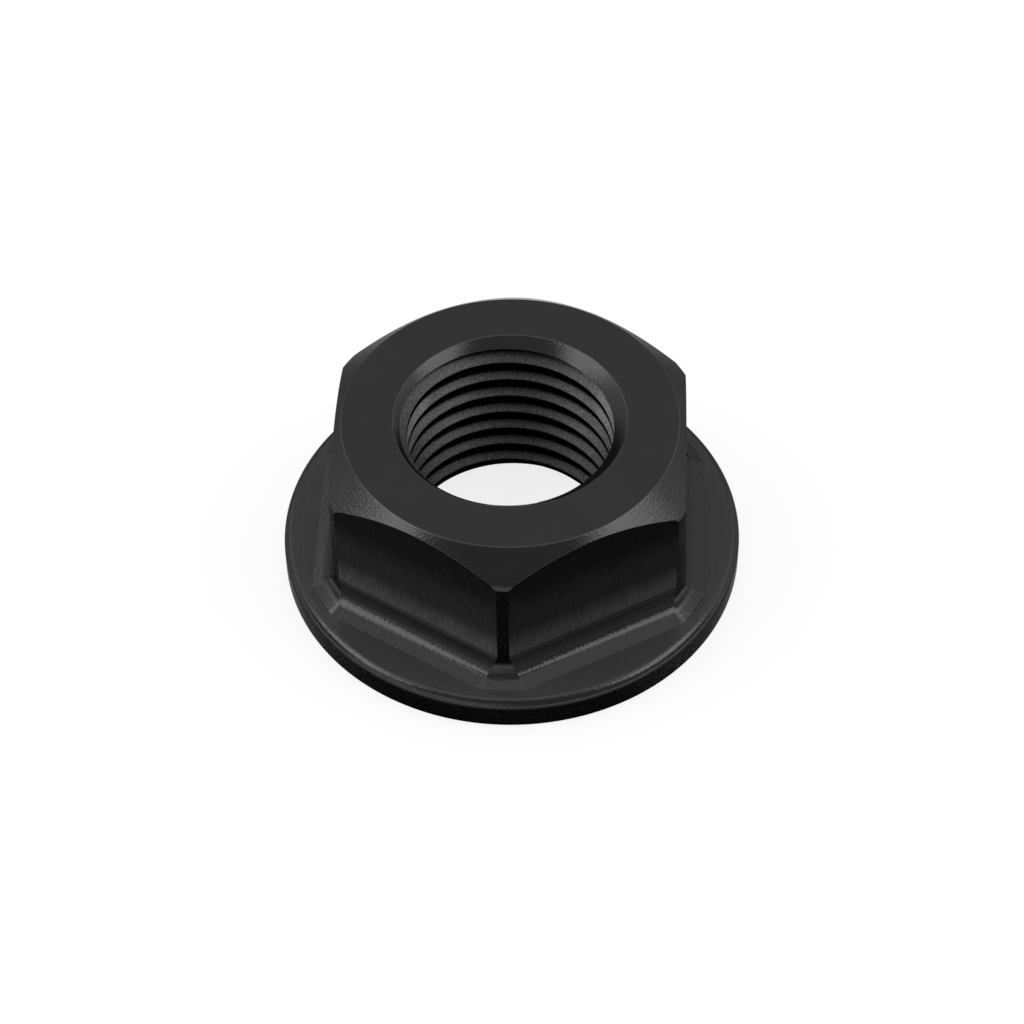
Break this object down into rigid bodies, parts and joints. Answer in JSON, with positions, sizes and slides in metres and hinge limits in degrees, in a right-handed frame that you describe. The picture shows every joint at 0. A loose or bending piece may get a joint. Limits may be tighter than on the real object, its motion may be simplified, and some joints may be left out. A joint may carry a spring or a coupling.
{
  "type": "hexagon flange nut",
  "caption": "One-piece machined hexagon nut with a turned flange, a countersunk threaded bore and a flat bearing face.",
  "frame": {"origin": "centre of the bearing face, where the thread axis meets it", "axes": "+Z along the thread axis, from the bearing face towards the top of the hexagon; +Y towards one corner of the hexagon"},
  "size_m": [0.0242, 0.0242, 0.01],
  "materials": {
    "black_metal": "satin black coating over machined metal"
  },
  "bodies": {
    "root": {"nut": "black_metal"}
  },
  "joints": []
}
